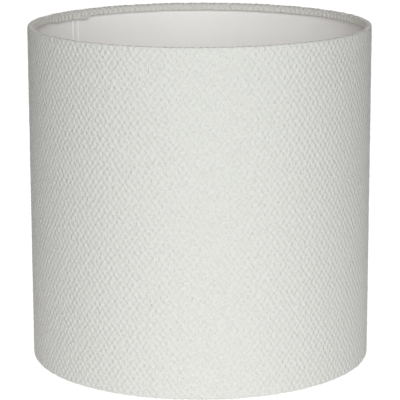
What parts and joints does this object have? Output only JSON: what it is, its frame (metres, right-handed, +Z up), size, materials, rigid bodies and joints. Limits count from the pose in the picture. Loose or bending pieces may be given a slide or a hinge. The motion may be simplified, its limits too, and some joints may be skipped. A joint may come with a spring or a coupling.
{
  "type": "lamp shade",
  "caption": "Upright cylinder lamp shade: textured fabric over a white liner, wire rings in the rims, and a bottom carrier ring that seats on a lampholder.",
  "frame": {"origin": "centre of the bottom rim, on the surface that the shade stands on", "axes": "+Z up along the shade's axis; +Y towards the first spoke; -Y is the front, and the seam is at the left back, at 140 degrees from +X towards +Y"},
  "size_m": [0.35, 0.35, 0.345],
  "materials": {
    "fabric": "matte off-white textured weave",
    "liner": "satin white sheet",
    "clear_tape": "smooth translucent white film",
    "steel": "white powder coat",
    "plastic": "moulded white"
  },
  "bodies": {
    "shade": {"fabric_cover": "fabric", "liner_panel": "liner", "seam_strip": "clear_tape", "top_hem_tape": "clear_tape", "bottom_hem_tape": "clear_tape", "top_ring": "steel", "bottom_ring": "steel", "spoke_1": "steel", "spoke_2": "steel", "spoke_3": "steel", "hub_ring": "steel"},
    "reducer": {"reducer_ring": "plastic"}
  },
  "joints": [
    {"name": "reducer_lift", "type": "slide", "parent": "shade", "child": "reducer", "axis": [0, 0, 1], "range_m": [0, 0.33]}
  ]
}
